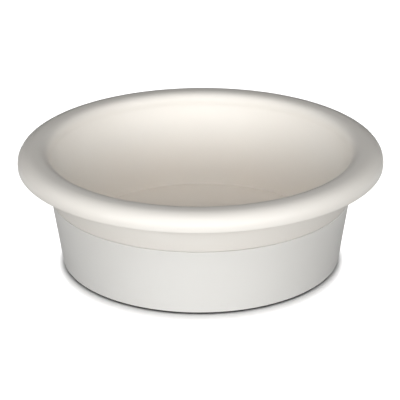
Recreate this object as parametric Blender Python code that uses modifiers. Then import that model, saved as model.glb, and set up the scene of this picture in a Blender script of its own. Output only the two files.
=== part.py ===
"""Round heavyweight feed bowl: a dish with a rolled rim, a skirt that it stands in, and a rubber foot.

All lengths are metres and +Z is up. The origin is the middle of the circle that the bowl stands on.
Every piece is turned about Z, so each one is a half section with a Screw modifier.
"""
import math

import bpy

# Driving sizes of the whole bowl.
RIM_RADIUS = 0.1365          # outermost circle of the rolled rim
RIM_PLANE = 0.0787           # height at which the rim is widest
RIM_RISE = 0.0103            # crest of the rim above that height
LIP_DROP = 0.0024            # lower edge of the rim's lip below that height
ROLL_OUTWARD = 0.0123        # from the crest of the roll out to its outermost circle
ROLL_INWARD = 0.0112         # from the crest of the roll in to the dish
OUTWARD_FULLNESS = 2.3       # shape of the roll's section: 2 is an ellipse and more is squarer
INWARD_FULLNESS = 3.3
FOOT_RADIUS = 0.1051         # skirt, where it ends just above the ground
FOOT_GAP = 0.0012            # the rubber ring holds the skirt this far off the ground
WALL_LEAN = 0.1461           # outer wall: metres out for each metre up
SEAM_HEIGHT = 0.0519         # lower edge of the collar, where the skirt begins
SEAM_GAP = 0.0004            # open line between the collar and the skirt
FLOOR_HEIGHT = 0.0168        # inside floor of the dish
FLOOR_RADIUS = 0.0975        # flat disc in the middle of that floor
FLOOR_STEP = 0.0009          # the disc lies this much lower than the wall's foot
STEP_SLOPE = 0.0002          # how far the little step leans out

# Wall thicknesses.
DISH_WALL = 0.0015
DISH_FLOOR = 0.0024
ROLL_WALL = 0.0026
COLLAR_WALL = 0.0015
SKIRT_WALL = 0.0022
FLANGE_WALL = 0.0023
RIB_WALL = 0.0020

# Small edges and corners.
EDGE_BREAK = 0.0003          # on both sides of the seam and at the foot
FOOT_BREAK = 0.0005
CORNER_FILL = 0.0015         # inside corners of the skirt
WALL_FILL = 0.0020           # where the skirt's flange meets its wall
FLOOR_BEND_ACROSS = 0.0015   # under the edge of the dish's floor
FLOOR_BEND_UP = 0.0012
LEAD_ACROSS = 0.0004         # slope that guides the tongue and the spigot in
LEAD_DOWN = 0.0006
COLLAR_RUN_IN = 0.0020       # the collar's face runs this far above the rim's widest plane
FLANGE_RECESS = 0.0006       # rib and flange end this far above the skirt's foot
SLOT_CLEARANCE = 0.0030      # no bend in the dish's back this close to the top of the tongue's slot

# How the pieces fit together.
FIT_GAP = 0.0003             # between two pieces that touch
TONGUE_WALL = 0.0011         # top edge of the skirt, tucked behind the collar
TONGUE_TOP = 0.0585
SNAP_HEIGHT = 0.0554         # bead on the tongue, in a groove in the collar
SNAP_DEPTH = 0.0004
SNAP_HALF_LENGTH = 0.0012
RIB_RADIUS = 0.0860          # outside of the rib that carries the dish's floor
SPIGOT_LENGTH = 0.0040       # ring under the dish that centres it inside the rib
RING_OUTER = 0.1043
RING_INNER = 0.0975
RING_SEAT = 0.0035           # the rubber ring's top, in its groove
RING_ROUND = 0.0005
GRIP_GROOVES = 2             # grooves round the ring's tread, as wide as the lands between them
GRIP_DEPTH = 0.0006
GRIP_SLOPE = 0.2             # how far a groove's sides lean, as a share of its width

# The dish's inner wall rises as this power of the distance out from the floor disc.
DISH_CURVE = 1.275
WALL_SPREAD = 1.3            # its points lie closer together near the floor
ROLL_START = 174.0           # degrees round the roll at which the dish's wall runs into it
CAVITY_END = 132.0           # degrees round the hollow under the roll at which it meets the collar

TURN_STEPS = 60
WALL_POINTS = 9
ROLL_POINTS = 15
CAVITY_POINTS = 9
MERGE_DISTANCE = 0.00001

RIM_CENTRE = RIM_RADIUS - ROLL_OUTWARD


def outer_wall(height):
    """Radius of the outside of the skirt and collar at a height."""
    return FOOT_RADIUS + WALL_LEAN * (height - FOOT_GAP)


def roll_point(inset, degrees):
    """Point that far inside the roll's face; 0 degrees is outermost and 90 is the crest."""
    across = math.cos(math.radians(degrees))
    up = math.sin(math.radians(degrees))
    reach = (ROLL_OUTWARD if across > 0.0 else ROLL_INWARD) - inset
    fullness = OUTWARD_FULLNESS if across > 0.0 else INWARD_FULLNESS
    scale = (abs(across) ** fullness + abs(up) ** fullness) ** (-1.0 / fullness)
    return (RIM_CENTRE + reach * across * scale, RIM_PLANE + (RIM_RISE - inset) * up * scale)


def evenly(start, end, count):
    return [start + (end - start) * index / (count - 1) for index in range(count)]


def dish_wall():
    """Inside face of the dish, from the edge of its floor disc up to the roll."""
    foot_radius = FLOOR_RADIUS + STEP_SLOPE
    foot_height = FLOOR_HEIGHT + FLOOR_STEP
    top_radius, top_height = roll_point(0.0, ROLL_START)
    width = top_radius - foot_radius
    rise = top_height - foot_height
    points = []
    for share in evenly(0.0, 1.0, WALL_POINTS):
        out = share ** WALL_SPREAD
        points.append((foot_radius + width * out, foot_height + rise * out ** DISH_CURVE))
    return points


def offset_outward(points, distance):
    """The same line moved sideways, away from the axis and downward."""
    moved = []
    for index, (radius, height) in enumerate(points):
        before = points[max(index - 1, 0)]
        after = points[min(index + 1, len(points) - 1)]
        along_radius = after[0] - before[0]
        along_height = after[1] - before[1]
        length = math.hypot(along_radius, along_height)
        moved.append((radius + distance * along_height / length, height - distance * along_radius / length))
    return moved


def lip_angle(inset):
    """Degrees below its widest point at which the face that far inside the roll's ends at the lip."""
    down = LIP_DROP / (RIM_RISE - inset)
    across = (1.0 - down ** OUTWARD_FULLNESS) ** (1.0 / OUTWARD_FULLNESS)
    return math.degrees(math.atan2(down, across))


def roll_outside():
    """The roll from the dish, over its crest and past its widest point, to the lip's lower edge."""
    angles = evenly(ROLL_START, 0.0, ROLL_POINTS) + [-lip_angle(0.0)]
    return [roll_point(0.0, angle) for angle in angles]


def roll_inside():
    """The hollow under the roll, from the lip's lower edge back to the collar."""
    angles = [-lip_angle(ROLL_WALL)] + evenly(0.0, CAVITY_END, CAVITY_POINTS)
    return [roll_point(ROLL_WALL, angle) for angle in angles]


def collar_section():
    """Collar, from under the roll down to the seam and back up its inside, with the snap groove."""
    top = RIM_PLANE + COLLAR_RUN_IN
    bottom = SEAM_HEIGHT
    slot_top = TONGUE_TOP + FIT_GAP
    groove_half_length = 2 * SNAP_HALF_LENGTH

    def inside(height, deeper=0.0):
        return (outer_wall(height) - COLLAR_WALL + deeper, height)

    return [
        (outer_wall(top), top),
        (outer_wall(bottom + EDGE_BREAK), bottom + EDGE_BREAK),
        (outer_wall(bottom) - EDGE_BREAK, bottom),
        inside(bottom),
        inside(SNAP_HEIGHT - groove_half_length),
        inside(SNAP_HEIGHT, SNAP_DEPTH),
        inside(SNAP_HEIGHT + groove_half_length),
        inside(slot_top),
    ]


def dish_back():
    """Outside of the dish, from the top of the collar's slot down to the underside of the floor."""
    slot_top = TONGUE_TOP + FIT_GAP
    underside = FLOOR_HEIGHT - DISH_FLOOR
    back = offset_outward(dish_wall(), DISH_WALL)
    low, high = next((low, high) for low, high in zip(back, back[1:]) if high[1] >= slot_top)
    share = (slot_top - low[1]) / (high[1] - low[1])
    slot_corner = (low[0] + share * (high[0] - low[0]), slot_top)
    lowest = underside + FLOOR_BEND_UP
    highest = slot_top - SLOT_CLEARANCE
    steep = [point for point in reversed(back) if lowest < point[1] < highest]
    return [slot_corner] + steep + [(FLOOR_RADIUS - FLOOR_BEND_ACROSS, underside)]


def spigot_section():
    """Ring under the dish's floor that drops inside the skirt's rib."""
    underside = FLOOR_HEIGHT - DISH_FLOOR
    outside = RIB_RADIUS - RIB_WALL - FIT_GAP
    inside = outside - RIB_WALL
    return [
        (outside, underside),
        (outside - LEAD_ACROSS, underside - SPIGOT_LENGTH),
        (inside + LEAD_ACROSS, underside - SPIGOT_LENGTH),
        (inside, underside),
        (0.0, underside),
    ]


def dish_section():
    floor = [(0.0, FLOOR_HEIGHT), (FLOOR_RADIUS, FLOOR_HEIGHT)]
    inside = floor + dish_wall()[:-1] + roll_outside()
    outside = roll_inside() + collar_section() + dish_back() + spigot_section()
    return inside + outside


def skirt_section():
    """Closed outline of the skirt: tongue, shoulder, wall, foot with its groove, flange and rib."""
    shoulder = SEAM_HEIGHT - SEAM_GAP
    underside = FOOT_GAP + FLANGE_RECESS
    groove_outside = RING_OUTER + FIT_GAP
    groove_inside = RING_INNER - FIT_GAP
    groove_top = RING_SEAT + FIT_GAP
    flange_top = groove_top + FLANGE_WALL
    rib_top = FLOOR_HEIGHT - DISH_FLOOR - FIT_GAP
    rib_inside = RIB_RADIUS - RIB_WALL

    def tongue(height, outward=0.0):
        return (outer_wall(height) - COLLAR_WALL - FIT_GAP + outward, height)

    return [
        tongue(TONGUE_TOP, -TONGUE_WALL),
        tongue(TONGUE_TOP, -LEAD_ACROSS),
        tongue(TONGUE_TOP - LEAD_DOWN),
        tongue(SNAP_HEIGHT + SNAP_HALF_LENGTH),
        tongue(SNAP_HEIGHT, SNAP_DEPTH),
        tongue(SNAP_HEIGHT - SNAP_HALF_LENGTH),
        tongue(shoulder),
        (outer_wall(shoulder) - EDGE_BREAK, shoulder),
        (outer_wall(shoulder - EDGE_BREAK), shoulder - EDGE_BREAK),
        (outer_wall(FOOT_GAP + FOOT_BREAK), FOOT_GAP + FOOT_BREAK),
        (outer_wall(FOOT_GAP) - EDGE_BREAK, FOOT_GAP),
        (groove_outside, FOOT_GAP),
        (groove_outside, groove_top),
        (groove_inside, groove_top),
        (groove_inside, underside),
        (rib_inside + CORNER_FILL, underside),
        (rib_inside, underside + CORNER_FILL),
        (rib_inside, rib_top),
        (RIB_RADIUS, rib_top),
        (RIB_RADIUS, flange_top + CORNER_FILL),
        (RIB_RADIUS + CORNER_FILL, flange_top),
        (outer_wall(flange_top) - SKIRT_WALL - WALL_FILL, flange_top),
        (outer_wall(flange_top + WALL_FILL) - SKIRT_WALL, flange_top + WALL_FILL),
        tongue(shoulder, -TONGUE_WALL),
    ]


def ring_section():
    """Closed outline of the rubber ring, with grip grooves round its tread."""
    band = (RING_OUTER - RING_INNER) / (2 * GRIP_GROOVES + 1)
    slope = GRIP_SLOPE * band
    outline = [
        (RING_INNER + RING_ROUND, RING_SEAT),
        (RING_OUTER - RING_ROUND, RING_SEAT),
        (RING_OUTER, RING_SEAT - RING_ROUND),
        (RING_OUTER, RING_ROUND),
        (RING_OUTER - RING_ROUND, 0.0),
    ]
    for groove in range(GRIP_GROOVES):
        outside = RING_OUTER - (2 * groove + 1) * band
        inside = outside - band
        outline += [
            (outside, 0.0),
            (outside - slope, GRIP_DEPTH),
            (inside + slope, GRIP_DEPTH),
            (inside, 0.0),
        ]
    return outline + [
        (RING_INNER + RING_ROUND, 0.0),
        (RING_INNER, RING_ROUND),
        (RING_INNER, RING_SEAT - RING_ROUND),
    ]


def plain_material(name, colour, roughness):
    material = bpy.data.materials.new(name)
    material.use_nodes = True
    shader = material.node_tree.nodes["Principled BSDF"]
    shader.inputs["Base Color"].default_value = (*colour, 1.0)
    shader.inputs["Roughness"].default_value = roughness
    shader.inputs["Metallic"].default_value = 0.0
    material.diffuse_color = (*colour, 1.0)
    return material


def turned_piece(name, section, closed, material, collection):
    """One piece turned about Z from its half section, which runs down its outer side."""
    vertices = [(radius, 0.0, height) for radius, height in section]
    edges = [(index, index + 1) for index in range(len(section) - 1)]
    if closed:
        edges.append((len(section) - 1, 0))
    mesh = bpy.data.meshes.new(name)
    mesh.from_pydata(vertices, edges, [])
    mesh.materials.append(material)
    piece = bpy.data.objects.new(name, mesh)
    collection.objects.link(piece)

    screw = piece.modifiers.new("turn", "SCREW")
    screw.axis = "Z"
    screw.angle = 2.0 * math.pi
    screw.steps = TURN_STEPS
    screw.render_steps = TURN_STEPS
    screw.use_merge_vertices = True
    screw.merge_threshold = MERGE_DISTANCE
    screw.use_smooth_shade = True
    return piece


def clear_scene():
    for item in list(bpy.data.objects):
        bpy.data.objects.remove(item, do_unlink=True)


def build():
    clear_scene()
    collection = bpy.data.collections.new("feed_bowl")
    bpy.context.scene.collection.children.link(collection)
    base = bpy.data.objects.new("feed_bowl_base", None)
    collection.objects.link(base)

    warm_white = plain_material("bowl_plastic", (0.80, 0.77, 0.73), 0.42)
    cool_white = plain_material("skirt_plastic", (0.78, 0.77, 0.74), 0.45)
    rubber = plain_material("foot_rubber", (0.03, 0.03, 0.03), 0.80)
    pieces = [
        turned_piece("inner_bowl", dish_section(), False, warm_white, collection),
        turned_piece("outer_skirt", skirt_section(), True, cool_white, collection),
        turned_piece("non_slip_ring", ring_section(), True, rubber, collection),
    ]
    for piece in pieces:
        piece.parent = base


build()
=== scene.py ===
"""Heavyweight feed bowl: fine meshes, materials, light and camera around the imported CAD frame.

All lengths are metres, +Z is up, and the origin is the middle of the circle that the bowl stands on.
Every piece is turned about Z, so each mesh comes from a half outline in radius and height.
"""
import math

import bpy
from mathutils import Matrix, Vector


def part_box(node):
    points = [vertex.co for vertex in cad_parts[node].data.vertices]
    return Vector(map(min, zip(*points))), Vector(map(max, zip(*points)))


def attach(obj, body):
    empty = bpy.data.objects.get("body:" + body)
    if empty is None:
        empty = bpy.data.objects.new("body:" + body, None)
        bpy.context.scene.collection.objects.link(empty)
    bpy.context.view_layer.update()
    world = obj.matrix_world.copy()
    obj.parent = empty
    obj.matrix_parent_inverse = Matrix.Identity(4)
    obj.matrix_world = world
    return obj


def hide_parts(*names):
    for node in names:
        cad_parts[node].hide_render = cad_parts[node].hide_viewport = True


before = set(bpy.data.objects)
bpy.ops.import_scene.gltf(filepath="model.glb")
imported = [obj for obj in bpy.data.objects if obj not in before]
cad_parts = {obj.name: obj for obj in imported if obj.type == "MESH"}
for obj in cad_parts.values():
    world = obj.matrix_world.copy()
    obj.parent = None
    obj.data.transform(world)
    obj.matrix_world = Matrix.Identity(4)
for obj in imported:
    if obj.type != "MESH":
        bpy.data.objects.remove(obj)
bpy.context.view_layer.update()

# ---------------------------------------------------------------- sizes read from the frame

bowl_low, bowl_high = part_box("inner_bowl")
skirt_low, skirt_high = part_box("outer_skirt")
ring_low, ring_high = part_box("non_slip_ring")

RIM_RADIUS = bowl_high.x
CREST = bowl_high.z
FOOT_HEIGHT = skirt_low.z
TONGUE_TOP = skirt_high.z
RING_OUTER = ring_high.x
RING_TOP = ring_high.z

# ---------------------------------------------------------------- sizes shared with the CAD

RIM_RISE = 0.0103            # crest of the rim above the height where it is widest
LIP_DROP = 0.0024            # lower edge of the rim's lip below that height
ROLL_OUTWARD = 0.0123        # from the crest of the roll out to its outermost circle
ROLL_INWARD = 0.0112         # from the crest of the roll in to the dish
OUTWARD_FULLNESS = 2.3       # shape of the roll's section: 2 is an ellipse and more is squarer
INWARD_FULLNESS = 3.3
ROLL_START = 174.0           # degrees round the roll at which the dish's wall runs into it
CAVITY_END = 132.0           # degrees round the hollow under the roll at which it meets the collar
FOOT_RADIUS = 0.1051
WALL_LEAN = 0.1461           # outer wall: metres out for each metre up
SEAM_HEIGHT = 0.0519         # lower edge of the collar, where the skirt begins
SEAM_GAP = 0.0004
FLOOR_HEIGHT = 0.0168        # inside floor of the dish
FLOOR_RADIUS = 0.0975
FLOOR_STEP = 0.0009          # the floor disc lies this much lower than the wall's foot
STEP_SLOPE = 0.0002
DISH_CURVE = 1.275           # the wall rises as this power of the distance out from the floor
DISH_WALL = 0.0015
DISH_FLOOR = 0.0024
ROLL_WALL = 0.0026
COLLAR_WALL = 0.0015
COLLAR_RUN_IN = 0.0020       # the collar's face runs this far above the rim's widest plane
SKIRT_WALL = 0.0022
FLANGE_WALL = 0.0023
FLANGE_RECESS = 0.0006       # rib and flange end this far above the skirt's foot
RIB_WALL = 0.0020
RIB_RADIUS = 0.0860          # outside of the rib that carries the dish's floor
FIT_GAP = 0.0003             # between two pieces that touch
TONGUE_WALL = 0.0011
SNAP_HEIGHT = 0.0554         # bead on the tongue, in a groove in the collar
SNAP_DEPTH = 0.0004
SNAP_HALF_LENGTH = 0.0012
SPIGOT_LENGTH = 0.0040
LEAD_ACROSS = 0.0004         # taper that guides the spigot in
RING_INNER = 0.0975
GRIP_GROOVES = 2             # grooves round the ring's tread, as wide as the lands between them
GRIP_DEPTH = 0.0006
GRIP_SLOPE = 0.2             # how far a groove's sides lean, as a share of its width
FLOOR_BEND_ACROSS = 0.0015   # under the edge of the dish's floor

RIM_PLANE = CREST - RIM_RISE
RIM_CENTRE = RIM_RADIUS - ROLL_OUTWARD
UNDERSIDE = FLOOR_HEIGHT - DISH_FLOOR
SLOT_TOP = TONGUE_TOP + FIT_GAP

# ---------------------------------------------------------------- fine detail that the CAD leaves out

HAIR_ROUND = 0.00015         # rounding of the sharpest edges
FINE_ROUND = 0.0003
SEAM_ROUND = 0.00035
SOFT_ROUND = 0.0005
LIP_ROUND = 0.0007
SNAP_ROUND = 0.0010
CORNER_ROUND = 0.0018        # inside corners of the mouldings
WALL_ROUND = 0.0028
GATE_RADIUS = 0.0030         # sprue mark in the middle of the dish's underside
GATE_HEIGHT = 0.0006
SLOT_CLEARANCE = 0.0006      # no point of the dish's back this close to the top of the tongue's slot

SEGMENTS = 240               # round the axis
WALL_POINTS = 60
WALL_SPREAD = 1.3            # the wall's points lie closer together near the floor
ROLL_POINTS = 64
CAVITY_POINTS = 40
LIP_SKIP = 3                 # points of the roll's faces that the rounded lip takes the place of
ARC_STEP = 12.0              # degrees turned at each point of a rounded corner
CORNER_SHARE = 0.48          # of the shorter side that a rounding may take
ARC_STEPS_MIN = 3
ON_AXIS = 0.000001           # a radius under this is the axis itself

# ---------------------------------------------------------------- finishes

WARM_CLEAN = (0.86, 0.831, 0.781)
WARM_TINTED = (0.85, 0.817, 0.762)
WARM_SCUFFED = (0.80, 0.775, 0.735)
# warmer, slightly darker tint that deepens towards the bottom, fully so at the dish's floor height
DISH_LOW_TINT = (0.87, 0.805, 0.73)
WARM_ROUGHNESS = (0.38, 0.50)
WARM_GRAIN = 0.00003         # depth in metres
COOL_CLEAN = (0.82, 0.81, 0.778)
COOL_TINTED = (0.81, 0.797, 0.763)
COOL_SCUFFED = (0.72, 0.695, 0.65)
COOL_ROUGHNESS = (0.40, 0.52)
COOL_GRAIN = 0.00004
PLASTIC_IOR = 1.49
PLASTIC_SPECULAR = 0.35
RUBBER_CLEAN = (0.022, 0.021, 0.020)
RUBBER_DUSTY = (0.075, 0.070, 0.064)
RUBBER_ROUGHNESS = (0.72, 0.92)
RUBBER_PORE_DEPTH = 0.00008
STAGE_SHADES = ((0.92, 0.92, 0.92), (0.94, 0.94, 0.94))
STAGE_ROUGHNESS = 0.9
STAGE_SPECULAR = 0.1

COLOUR_A = 6                 # sockets of the Mix node that carry colours
COLOUR_B = 7
COLOUR_RESULT = 2

# waves of noise per metre, detail, roughness
CLOUD = (14.0, 3.0, 0.5)     # slow change of tint through the moulding
SHEEN = (60.0, 4.0, 0.5)     # patches that shine more or less
RIPPLE = (240.0, 2.0, 0.5)   # unevenness of the moulded face
GRAIN = (2600.0, 2.0, 0.5)   # spark-eroded texture of the mould
SCUFFS = (380.0, 6.0, 0.7)   # fine marks from handling, gathered in patches
SCUFF_PATCHES = (35.0, 2.0, 0.5)
LOW_TINT_NOISE = (22.0, 5.0, 0.6)     # unevenness of the warmer, slightly darker tint low in the bowl
DUST = (90.0, 5.0, 0.65)
PORES = (1500.0, 3.0, 0.5)
STAGE_CLOUD = (3.0, 2.0, 0.5)

SKIRT_WEAR_TOP = 0.0120      # the skirt is scuffed below this height
LOW_TINT_TOP = 0.0600           # the bowl turns warmer and slightly darker below this height

# stretch of the noise's values over which each effect grows
CLOUD_BAND = (0.35, 0.65)
SHEEN_BAND = (0.3, 0.7)
SCUFF_BAND = (0.56, 0.72)
PATCH_BAND = (0.42, 0.62)
LOW_TINT_BAND = (0.3, 0.6)
DUST_BAND = (0.45, 0.8)

# how much of each effect shows
NONE_TO_FULL = (0.0, 1.0)
SCUFF_TINT = 0.45
SCUFF_DULLING = 0.18
SCUFF_RELIEF = 0.3
PATCH_LEAST = 0.15
LOW_TINT_LEAST = 0.6
RIPPLE_DEPTH = 2.0           # as a multiple of the grain's
RIPPLE_RELIEF = 0.25
GRAIN_RELIEF = 0.5
PORE_RELIEF = 0.6

# ---------------------------------------------------------------- camera and light

LENS = 158.55                # millimetres, as is the sensor
SENSOR = 36.0
CAMERA_DOWN = 22.874         # degrees below the horizon
CAMERA_ROLL = -0.344
CAMERA_ACROSS = -0.0005
CAMERA_BACK = 1.22827
CAMERA_HEIGHT = 0.56197
CLIP_START = 0.05
CLIP_END = 50.0

LIGHT_TARGET = Vector((0.0, 0.0, 0.04))
LIGHT_DISTANCE = 2.5
# name, azimuth (0 is the camera's side and 90 is +X), elevation, width, height, power in watts
BOWL_LIGHTS = (
    ("front_low", 0.0, 11.0, 1.4, 0.5, 16.6),
    ("left_low", -35.0, 11.0, 1.4, 0.5, 13.0),
    ("right_low", 35.0, 11.0, 1.4, 0.5, 11.8),
    ("left_side", -62.0, 14.0, 1.4, 0.6, 4.4),
    ("right_side", 62.0, 14.0, 1.4, 0.6, 3.0),
    ("front_middle", 0.0, 22.0, 1.4, 0.5, 7.0),
    ("left_middle", -40.0, 22.0, 1.4, 0.5, 6.4),
    ("right_middle", 40.0, 22.0, 1.4, 0.5, 6.4),
    ("front_top", 0.0, 58.0, 1.4, 0.9, 19.0),
    ("back_bounce", 180.0, -16.0, 2.0, 0.6, 16.0),
    ("left_bounce", -128.0, -16.0, 1.4, 0.6, 5.0),
    ("right_bounce", 128.0, -16.0, 1.4, 0.6, 5.0),
)
GROUND_WASH = ("ground_wash", 180.0, 81.5, 0.4, 1.4, 105.0)
FLAG_HEIGHT = 0.050          # unseen disc that shades the wash, so that the shadow keeps to the foot
GLOW_BELOW = 0.18            # light that the pale ground sends back up at the bowl
GLOW_ABOVE = 0.0
GLOW_BLEND = 0.05            # half the height of the band in which one turns into the other
WHITE = (1.0, 1.0, 1.0, 1.0)
STAGE_RADIUS = 0.8
STAGE_DROP = 0.0002          # keeps the floor's surface clear of the rubber ring's tread
STAGE_SEGMENTS = 96


# ---------------------------------------------------------------- outlines

def corner(radius, height, rounding=0.0):
    return (radius, height, rounding)


def plain(points):
    """The same points as corners that need no rounding."""
    return [corner(*point) for point in points]


def rounded(corners, closed):
    """Outline through the corners, with each corner that has a rounding replaced by an arc."""
    count = len(corners)
    outline = []
    for index, (radius, height, rounding) in enumerate(corners):
        inner_corner = closed or 0 < index < count - 1
        if not rounding or not inner_corner:
            outline.append((radius, height))
            continue
        here = Vector((radius, height))
        before = Vector(corners[index - 1][:2]) - here
        after = Vector(corners[(index + 1) % count][:2]) - here
        opening = before.angle(after)
        turn = math.pi - opening
        room = CORNER_SHARE * min(before.length, after.length)
        reach = min(rounding * math.tan(turn / 2), room)
        arc_radius = reach / math.tan(turn / 2)
        middle = (before.normalized() + after.normalized()).normalized()
        centre = here + middle * (arc_radius / math.sin(opening / 2))
        first = here + before.normalized() * reach - centre
        last = here + after.normalized() * reach - centre
        steps = max(ARC_STEPS_MIN, math.ceil(math.degrees(turn) / ARC_STEP))
        sweep = first.angle_signed(last)
        for step in range(steps + 1):
            spoke = first.copy()
            spoke.rotate(Matrix.Rotation(-sweep * step / steps, 2))
            outline.append(tuple(centre + spoke))
    return outline


def evenly(start, end, count):
    return [start + (end - start) * index / (count - 1) for index in range(count)]


def outer_wall(height):
    """Radius of the outside of the skirt and collar at a height."""
    return FOOT_RADIUS + WALL_LEAN * (height - FOOT_HEIGHT)


def roll_point(inset, degrees):
    """Point that far inside the roll's face; 0 degrees is outermost and 90 is the crest."""
    across = math.cos(math.radians(degrees))
    up = math.sin(math.radians(degrees))
    reach = (ROLL_OUTWARD if across > 0.0 else ROLL_INWARD) - inset
    fullness = OUTWARD_FULLNESS if across > 0.0 else INWARD_FULLNESS
    scale = (abs(across) ** fullness + abs(up) ** fullness) ** (-1.0 / fullness)
    return (RIM_CENTRE + reach * across * scale, RIM_PLANE + (RIM_RISE - inset) * up * scale)


def lip_angle(inset):
    """Degrees below its widest point at which the face that far inside the roll's ends at the lip."""
    down = LIP_DROP / (RIM_RISE - inset)
    across = (1.0 - down ** OUTWARD_FULLNESS) ** (1.0 / OUTWARD_FULLNESS)
    return math.degrees(math.atan2(down, across))


def roll_face():
    """The roll from the dish, over its crest and round to the lip's lower edge."""
    face = plain(roll_point(0.0, angle) for angle in evenly(ROLL_START, -lip_angle(0.0), ROLL_POINTS))
    return face[:-LIP_SKIP] + [corner(*face[-1][:2], LIP_ROUND)]


def roll_hollow():
    """The hollow under the roll, from the lip's lower edge back to the collar."""
    angles = evenly(-lip_angle(ROLL_WALL), CAVITY_END, CAVITY_POINTS)
    hollow = plain(roll_point(ROLL_WALL, angle) for angle in angles)
    return [corner(*hollow[0][:2], LIP_ROUND)] + hollow[LIP_SKIP:]


def dish_wall():
    """Inside face of the dish, from the edge of its floor disc up to the roll."""
    foot_radius = FLOOR_RADIUS + STEP_SLOPE
    foot_height = FLOOR_HEIGHT + FLOOR_STEP
    top_radius, top_height = roll_point(0.0, ROLL_START)
    width = top_radius - foot_radius
    rise = top_height - foot_height
    points = []
    for share in evenly(0.0, 1.0, WALL_POINTS):
        out = share ** WALL_SPREAD
        points.append((foot_radius + width * out, foot_height + rise * out ** DISH_CURVE))
    return points


def offset_outward(points, distance):
    """The same line moved sideways, away from the axis and downward."""
    moved = []
    for index, (radius, height) in enumerate(points):
        before = points[max(index - 1, 0)]
        after = points[min(index + 1, len(points) - 1)]
        along_radius = after[0] - before[0]
        along_height = after[1] - before[1]
        length = math.hypot(along_radius, along_height)
        moved.append((radius + distance * along_height / length, height - distance * along_radius / length))
    return moved


def collar_section():
    """Collar, from under the roll down to the seam and back up its inside, with the snap groove."""
    top = RIM_PLANE + COLLAR_RUN_IN
    groove_half_length = 2 * SNAP_HALF_LENGTH

    def inside(height, rounding, deeper=0.0):
        return corner(outer_wall(height) - COLLAR_WALL + deeper, height, rounding)

    return [
        corner(outer_wall(top), top, CORNER_ROUND),
        corner(outer_wall(SEAM_HEIGHT), SEAM_HEIGHT, SEAM_ROUND),
        inside(SEAM_HEIGHT, HAIR_ROUND),
        inside(SNAP_HEIGHT - groove_half_length, SOFT_ROUND),
        inside(SNAP_HEIGHT, SNAP_ROUND, SNAP_DEPTH),
        inside(SNAP_HEIGHT + groove_half_length, SOFT_ROUND),
        inside(SLOT_TOP, FINE_ROUND),
    ]


def dish_back():
    """Outside of the dish, from the top of the tongue's slot down to the underside of the floor."""
    back = offset_outward(dish_wall(), DISH_WALL)
    low, high = next((low, high) for low, high in zip(back, back[1:]) if high[1] >= SLOT_TOP)
    share = (SLOT_TOP - low[1]) / (high[1] - low[1])
    slot_corner = corner(low[0] + share * (high[0] - low[0]), SLOT_TOP, FINE_ROUND)
    lowest = UNDERSIDE + CORNER_ROUND
    highest = SLOT_TOP - SLOT_CLEARANCE
    steep = plain(point for point in reversed(back) if lowest < point[1] < highest)
    return [slot_corner] + steep + [corner(FLOOR_RADIUS - FLOOR_BEND_ACROSS, UNDERSIDE, CORNER_ROUND)]


def spigot_section():
    """Ring under the dish's floor that drops inside the skirt's rib, and the sprue mark on the axis."""
    outside = RIB_RADIUS - RIB_WALL - FIT_GAP
    inside = outside - RIB_WALL
    foot = UNDERSIDE - SPIGOT_LENGTH
    gate = UNDERSIDE - GATE_HEIGHT
    return [
        corner(outside, UNDERSIDE, FINE_ROUND),
        corner(outside - LEAD_ACROSS, foot, FINE_ROUND),
        corner(inside + LEAD_ACROSS, foot, FINE_ROUND),
        corner(inside, UNDERSIDE, SOFT_ROUND),
        corner(GATE_RADIUS, UNDERSIDE, SOFT_ROUND),
        corner(GATE_RADIUS - GATE_HEIGHT, gate, FINE_ROUND),
        corner(0.0, gate),
    ]


def bowl_outline():
    floor = [
        corner(0.0, FLOOR_HEIGHT),
        corner(FLOOR_RADIUS, FLOOR_HEIGHT, HAIR_ROUND),
        corner(FLOOR_RADIUS + STEP_SLOPE, FLOOR_HEIGHT + FLOOR_STEP, HAIR_ROUND),
    ]
    wall = dish_wall()[2:-1]  # the ends belong to the floor's edge and to the roll
    inside = floor + plain(wall) + roll_face()
    outside = roll_hollow() + collar_section() + dish_back() + spigot_section()
    return rounded(inside + outside, False)


def skirt_outline():
    """Closed outline of the skirt: tongue, shoulder, wall, foot with its groove, flange and rib."""
    shoulder = SEAM_HEIGHT - SEAM_GAP
    underside = FOOT_HEIGHT + FLANGE_RECESS
    groove_outside = RING_OUTER + FIT_GAP
    groove_inside = RING_INNER - FIT_GAP
    groove_top = RING_TOP + FIT_GAP
    flange_top = groove_top + FLANGE_WALL
    rib_top = UNDERSIDE - FIT_GAP
    rib_inside = RIB_RADIUS - RIB_WALL

    def tongue(height, rounding, outward=0.0):
        return corner(outer_wall(height) - COLLAR_WALL - FIT_GAP + outward, height, rounding)

    return rounded([
        tongue(TONGUE_TOP, HAIR_ROUND, -TONGUE_WALL),
        tongue(TONGUE_TOP, SOFT_ROUND),
        tongue(SNAP_HEIGHT + SNAP_HALF_LENGTH, FINE_ROUND),
        tongue(SNAP_HEIGHT, SOFT_ROUND, SNAP_DEPTH),
        tongue(SNAP_HEIGHT - SNAP_HALF_LENGTH, FINE_ROUND),
        tongue(shoulder, HAIR_ROUND),
        corner(outer_wall(shoulder), shoulder, SEAM_ROUND),
        corner(outer_wall(FOOT_HEIGHT), FOOT_HEIGHT, SOFT_ROUND),
        corner(groove_outside, FOOT_HEIGHT, HAIR_ROUND),
        corner(groove_outside, groove_top, HAIR_ROUND),
        corner(groove_inside, groove_top, HAIR_ROUND),
        corner(groove_inside, underside, FINE_ROUND),
        corner(rib_inside, underside, CORNER_ROUND),
        corner(rib_inside, rib_top, FINE_ROUND),
        corner(RIB_RADIUS, rib_top, FINE_ROUND),
        corner(RIB_RADIUS, flange_top, CORNER_ROUND),
        corner(outer_wall(flange_top) - SKIRT_WALL, flange_top, WALL_ROUND),
        tongue(shoulder, WALL_ROUND, -TONGUE_WALL),
    ], True)


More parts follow.
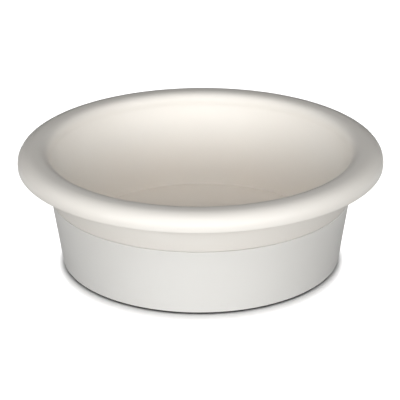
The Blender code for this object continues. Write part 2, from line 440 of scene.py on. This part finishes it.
def ring_outline():
    """Closed outline of the rubber ring, with grip grooves round its tread."""
    band = (RING_OUTER - RING_INNER) / (2 * GRIP_GROOVES + 1)
    slope = GRIP_SLOPE * band
    corners = [
        corner(RING_INNER, RING_TOP, SOFT_ROUND),
        corner(RING_OUTER, RING_TOP, SOFT_ROUND),
        corner(RING_OUTER, 0.0, SOFT_ROUND),
    ]
    for groove in range(GRIP_GROOVES):
        outside = RING_OUTER - (2 * groove + 1) * band
        inside = outside - band
        corners += [
            corner(outside, 0.0, HAIR_ROUND),
            corner(outside - slope, GRIP_DEPTH, HAIR_ROUND),
            corner(inside + slope, GRIP_DEPTH, HAIR_ROUND),
            corner(inside, 0.0, HAIR_ROUND),
        ]
    return rounded(corners + [corner(RING_INNER, 0.0, SOFT_ROUND)], True)


# ---------------------------------------------------------------- meshes

def turned_piece(name, outline, closed, material):
    """One piece turned about Z from its half outline, with a single vertex where it meets the axis."""
    vertices = []
    rings = []
    for radius, height in outline:
        if radius < ON_AXIS:
            rings.append([len(vertices)] * SEGMENTS)
            vertices.append((0.0, 0.0, height))
            continue
        rings.append(list(range(len(vertices), len(vertices) + SEGMENTS)))
        for segment in range(SEGMENTS):
            angle = 2 * math.pi * segment / SEGMENTS
            vertices.append((radius * math.cos(angle), radius * math.sin(angle), height))
    pairs = list(zip(rings, rings[1:]))
    if closed:
        pairs.append((rings[-1], rings[0]))
    faces = []
    for upper, lower in pairs:
        for segment in range(SEGMENTS):
            following = (segment + 1) % SEGMENTS
            loop = [upper[segment], lower[segment], lower[following], upper[following]]
            faces.append(list(dict.fromkeys(loop)))
    mesh = bpy.data.meshes.new(name)
    mesh.from_pydata(vertices, [], faces)
    mesh.validate()
    mesh.shade_smooth()
    mesh.materials.append(material)
    piece = bpy.data.objects.new(name, mesh)
    bpy.context.scene.collection.objects.link(piece)
    return piece


# ---------------------------------------------------------------- materials

def new_material(name):
    material = bpy.data.materials.new(name)
    material.use_nodes = True
    nodes = material.node_tree.nodes
    return material, nodes, material.node_tree.links, nodes["Principled BSDF"]


def noise(nodes, links, where, settings):
    scale, detail, roughness = settings
    node = nodes.new("ShaderNodeTexNoise")
    node.inputs["Scale"].default_value = scale
    node.inputs["Detail"].default_value = detail
    node.inputs["Roughness"].default_value = roughness
    links.new(where, node.inputs["Vector"])
    return node.outputs["Fac"]


def remap(nodes, links, value, taken, given):
    """The value with the range taken stretched over the range given, and held at its ends."""
    node = nodes.new("ShaderNodeMapRange")
    node.inputs["From Min"].default_value, node.inputs["From Max"].default_value = taken
    node.inputs["To Min"].default_value, node.inputs["To Max"].default_value = given
    links.new(value, node.inputs["Value"])
    return node.outputs["Result"]


def mix_colour(nodes, links, factor, first, second):
    """Mix of two colours, each a plain one or a socket."""
    node = nodes.new("ShaderNodeMix")
    node.data_type = "RGBA"
    links.new(factor, node.inputs["Factor"])
    for socket, colour in ((node.inputs[COLOUR_A], first), (node.inputs[COLOUR_B], second)):
        if isinstance(colour, tuple):
            socket.default_value = (*colour, 1.0)
        else:
            links.new(colour, socket)
    return node.outputs[COLOUR_RESULT]


def bump(nodes, links, height, distance, strength, normal=None):
    node = nodes.new("ShaderNodeBump")
    node.inputs["Strength"].default_value = strength
    node.inputs["Distance"].default_value = distance
    links.new(height, node.inputs["Height"])
    if normal is not None:
        links.new(normal, node.inputs["Normal"])
    return node.outputs["Normal"]


def arithmetic(nodes, links, operation, first, second):
    """One sum or product of a socket and either a socket or a plain number."""
    node = nodes.new("ShaderNodeMath")
    node.operation = operation
    links.new(first, node.inputs[0])
    if isinstance(second, float):
        node.inputs[1].default_value = second
    else:
        links.new(second, node.inputs[1])
    return node.outputs["Value"]


def height_zone(nodes, links, where, none_at, full_at):
    """Factor that grows from 0 to 1 between two heights."""
    split = nodes.new("ShaderNodeSeparateXYZ")
    links.new(where, split.inputs["Vector"])
    return remap(nodes, links, split.outputs["Z"], (none_at, full_at), NONE_TO_FULL)


def wear_map(nodes, links, place, unworn_at, worn_at):
    """Fine scuffs in loose patches, where the bowl is handled or dragged."""
    scuffs = remap(nodes, links, noise(nodes, links, place, SCUFFS), SCUFF_BAND, NONE_TO_FULL)
    patches = remap(nodes, links, noise(nodes, links, place, SCUFF_PATCHES), PATCH_BAND, (PATCH_LEAST, 1.0))
    patchy = arithmetic(nodes, links, "MULTIPLY", scuffs, patches)
    zone = height_zone(nodes, links, place, unworn_at, worn_at)
    return arithmetic(nodes, links, "MULTIPLY", patchy, zone)


def low_tint_map(nodes, links, place):
    """Uneven warmer, slightly darker tint that grows from its top height down to the dish's floor height.
    """
    uneven = remap(nodes, links, noise(nodes, links, place, LOW_TINT_NOISE), LOW_TINT_BAND, (LOW_TINT_LEAST, 1.0))
    zone = height_zone(nodes, links, place, LOW_TINT_TOP, FLOOR_HEIGHT)
    return arithmetic(nodes, links, "MULTIPLY", uneven, zone)


def plastic_colour(nodes, links, place, clean, tinted):
    """Slow clouds of two tints, as pigment spreads through a moulding."""
    cloud = remap(nodes, links, noise(nodes, links, place, CLOUD), CLOUD_BAND, NONE_TO_FULL)
    return mix_colour(nodes, links, cloud, clean, tinted)


def finish_plastic(nodes, links, shader, place, colour, scuffed, roughness_range, grain_depth, wear):
    """Satin polypropylene of that colour: uneven sheen, mould grain, and scuffs where wear says."""
    worn = arithmetic(nodes, links, "MULTIPLY", wear, SCUFF_TINT)
    links.new(mix_colour(nodes, links, worn, colour, scuffed), shader.inputs["Base Color"])

    sheen = remap(nodes, links, noise(nodes, links, place, SHEEN), SHEEN_BAND, roughness_range)
    dulling = arithmetic(nodes, links, "MULTIPLY", wear, SCUFF_DULLING)
    links.new(arithmetic(nodes, links, "ADD", sheen, dulling), shader.inputs["Roughness"])

    ripple = noise(nodes, links, place, RIPPLE)
    normal = bump(nodes, links, ripple, grain_depth * RIPPLE_DEPTH, RIPPLE_RELIEF)
    normal = bump(nodes, links, noise(nodes, links, place, GRAIN), grain_depth, GRAIN_RELIEF, normal)
    links.new(bump(nodes, links, wear, grain_depth, SCUFF_RELIEF, normal), shader.inputs["Normal"])
    shader.inputs["IOR"].default_value = PLASTIC_IOR
    shader.inputs["Specular IOR Level"].default_value = PLASTIC_SPECULAR


def bowl_plastic():
    """Scuffed on the rim's crest, where hands and teeth take hold, and warmer and slightly darker towards
    the bottom of the dish.
    """
    material, nodes, links, shader = new_material("bowl_plastic")
    place = nodes.new("ShaderNodeTexCoord").outputs["Object"]
    plastic = plastic_colour(nodes, links, place, WARM_CLEAN, WARM_TINTED)
    # tint the bowl warmer and slightly darker towards the dish's floor
    colour = mix_colour(nodes, links, low_tint_map(nodes, links, place), plastic, DISH_LOW_TINT)
    wear = wear_map(nodes, links, place, RIM_PLANE, CREST)
    finish_plastic(nodes, links, shader, place, colour, WARM_SCUFFED, WARM_ROUGHNESS, WARM_GRAIN, wear)
    return material


def skirt_plastic():
    """Scuffed at the foot of the wall, where it is dragged over the ground."""
    material, nodes, links, shader = new_material("skirt_plastic")
    place = nodes.new("ShaderNodeTexCoord").outputs["Object"]
    colour = plastic_colour(nodes, links, place, COOL_CLEAN, COOL_TINTED)
    wear = wear_map(nodes, links, place, SKIRT_WEAR_TOP, FOOT_HEIGHT)
    finish_plastic(nodes, links, shader, place, colour, COOL_SCUFFED, COOL_ROUGHNESS, COOL_GRAIN, wear)
    return material


def foot_rubber():
    """Matt black rubber with dust on it and fine pores."""
    material, nodes, links, shader = new_material("foot_rubber")
    place = nodes.new("ShaderNodeTexCoord").outputs["Object"]
    dust = noise(nodes, links, place, DUST)
    dusty = remap(nodes, links, dust, DUST_BAND, NONE_TO_FULL)
    links.new(mix_colour(nodes, links, dusty, RUBBER_CLEAN, RUBBER_DUSTY), shader.inputs["Base Color"])
    links.new(remap(nodes, links, dust, SHEEN_BAND, RUBBER_ROUGHNESS), shader.inputs["Roughness"])
    pores = noise(nodes, links, place, PORES)
    links.new(bump(nodes, links, pores, RUBBER_PORE_DEPTH, PORE_RELIEF), shader.inputs["Normal"])
    return material


# ---------------------------------------------------------------- studio

def disc(name, radius, height):
    """Flat round helper of the studio: no part of the bowl, and no light bounces off it."""
    bpy.ops.mesh.primitive_circle_add(vertices=STAGE_SEGMENTS, radius=radius, fill_type="NGON")
    flat = bpy.context.object
    flat.name = name
    flat.location.z = height
    flat.visible_diffuse = False
    flat.visible_glossy = False
    return flat


def stage_floor():
    material, nodes, links, shader = new_material("studio_floor")
    place = nodes.new("ShaderNodeTexCoord").outputs["Object"]
    cloud = noise(nodes, links, place, STAGE_CLOUD)
    links.new(mix_colour(nodes, links, cloud, *STAGE_SHADES), shader.inputs["Base Color"])
    shader.inputs["Roughness"].default_value = STAGE_ROUGHNESS
    shader.inputs["Specular IOR Level"].default_value = STAGE_SPECULAR
    floor = disc("studio_floor", STAGE_RADIUS, -STAGE_DROP)
    floor.data.materials.append(material)
    return floor


def wash_flag():
    """Disc as wide as the foot that no view shows and that only shades the wash."""
    flag = disc("wash_flag", FOOT_RADIUS, FLAG_HEIGHT)
    flag.visible_camera = False
    flag.visible_transmission = False
    return flag


def group(name, members):
    collection = bpy.data.collections.new(name)
    for member in members:
        collection.objects.link(member)
    return collection


def area_light(name, azimuth, elevation, width, height, power):
    """Soft rectangular light aimed at the bowl."""
    around = math.radians(azimuth)
    up = math.radians(elevation)
    out = Vector((math.sin(around) * math.cos(up), -math.cos(around) * math.cos(up), math.sin(up)))
    data = bpy.data.lights.new(name, "AREA")
    data.shape = "RECTANGLE"
    data.size = width
    data.size_y = height
    data.energy = power
    light = bpy.data.objects.new(name, data)
    light.location = LIGHT_TARGET + out * LIGHT_DISTANCE
    light.rotation_euler = out.to_track_quat("Z", "Y").to_euler()
    bpy.context.scene.collection.objects.link(light)
    return light


def studio_lights(floor, flag, bowl, skirt, ring):
    """Soft boxes and ground bounce for the bowl, and an overhead wash that lights the floor.

    The floor blocks no light, and only the flag and the foot shade the wash.
    """
    lit = group("lit_by_soft_boxes", [bowl, skirt, ring])
    for settings in BOWL_LIGHTS:
        linking = area_light(*settings).light_linking
        linking.receiver_collection = lit
        linking.blocker_collection = lit
    wash = area_light(*GROUND_WASH)
    wash.light_linking.receiver_collection = group("lit_by_wash", [floor])
    wash.light_linking.blocker_collection = group("shades_wash", [flag, ring])


def studio_world():
    world = bpy.data.worlds.new("studio")
    world.use_nodes = True
    nodes = world.node_tree.nodes
    links = world.node_tree.links
    background = nodes["Background"]
    background.inputs["Color"].default_value = WHITE
    seen = nodes.new("ShaderNodeBackground")
    seen.inputs["Color"].default_value = WHITE
    direction = nodes.new("ShaderNodeSeparateXYZ")
    links.new(nodes.new("ShaderNodeTexCoord").outputs["Generated"], direction.inputs["Vector"])
    horizon = (-GLOW_BLEND, GLOW_BLEND)
    glow = remap(nodes, links, direction.outputs["Z"], horizon, (GLOW_BELOW, GLOW_ABOVE))
    links.new(glow, background.inputs["Strength"])
    path = nodes.new("ShaderNodeLightPath")
    choose = nodes.new("ShaderNodeMixShader")
    links.new(path.outputs["Is Camera Ray"], choose.inputs["Fac"])
    links.new(background.outputs["Background"], choose.inputs[1])
    links.new(seen.outputs["Background"], choose.inputs[2])
    links.new(choose.outputs["Shader"], nodes["World Output"].inputs["Surface"])
    bpy.context.scene.world = world


def camera():
    data = bpy.data.cameras.new("camera")
    data.lens = LENS
    data.sensor_width = SENSOR
    data.clip_start = CLIP_START
    data.clip_end = CLIP_END
    view = bpy.data.objects.new("camera", data)
    pitch = Matrix.Rotation(math.radians(90.0 - CAMERA_DOWN), 3, "X")
    roll = Matrix.Rotation(math.radians(CAMERA_ROLL), 3, "Z")
    view.rotation_euler = (pitch @ roll).to_euler()
    view.location = (CAMERA_ACROSS, -CAMERA_BACK, CAMERA_HEIGHT)
    bpy.context.scene.collection.objects.link(view)
    bpy.context.scene.camera = view


# ---------------------------------------------------------------- the bowl

def show(piece, node):
    """The piece stands for that CAD node, which it hides, and hangs under the root body."""
    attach(piece, "root")
    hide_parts(node)


bowl = turned_piece("bowl_surface", bowl_outline(), False, bowl_plastic())
show(bowl, "inner_bowl")
skirt = turned_piece("skirt_surface", skirt_outline(), True, skirt_plastic())
show(skirt, "outer_skirt")
ring = turned_piece("ring_surface", ring_outline(), True, foot_rubber())
show(ring, "non_slip_ring")

floor = stage_floor()
studio_lights(floor, wash_flag(), bowl, skirt, ring)
studio_world()
camera()
bpy.context.scene.view_settings.view_transform = "Standard"
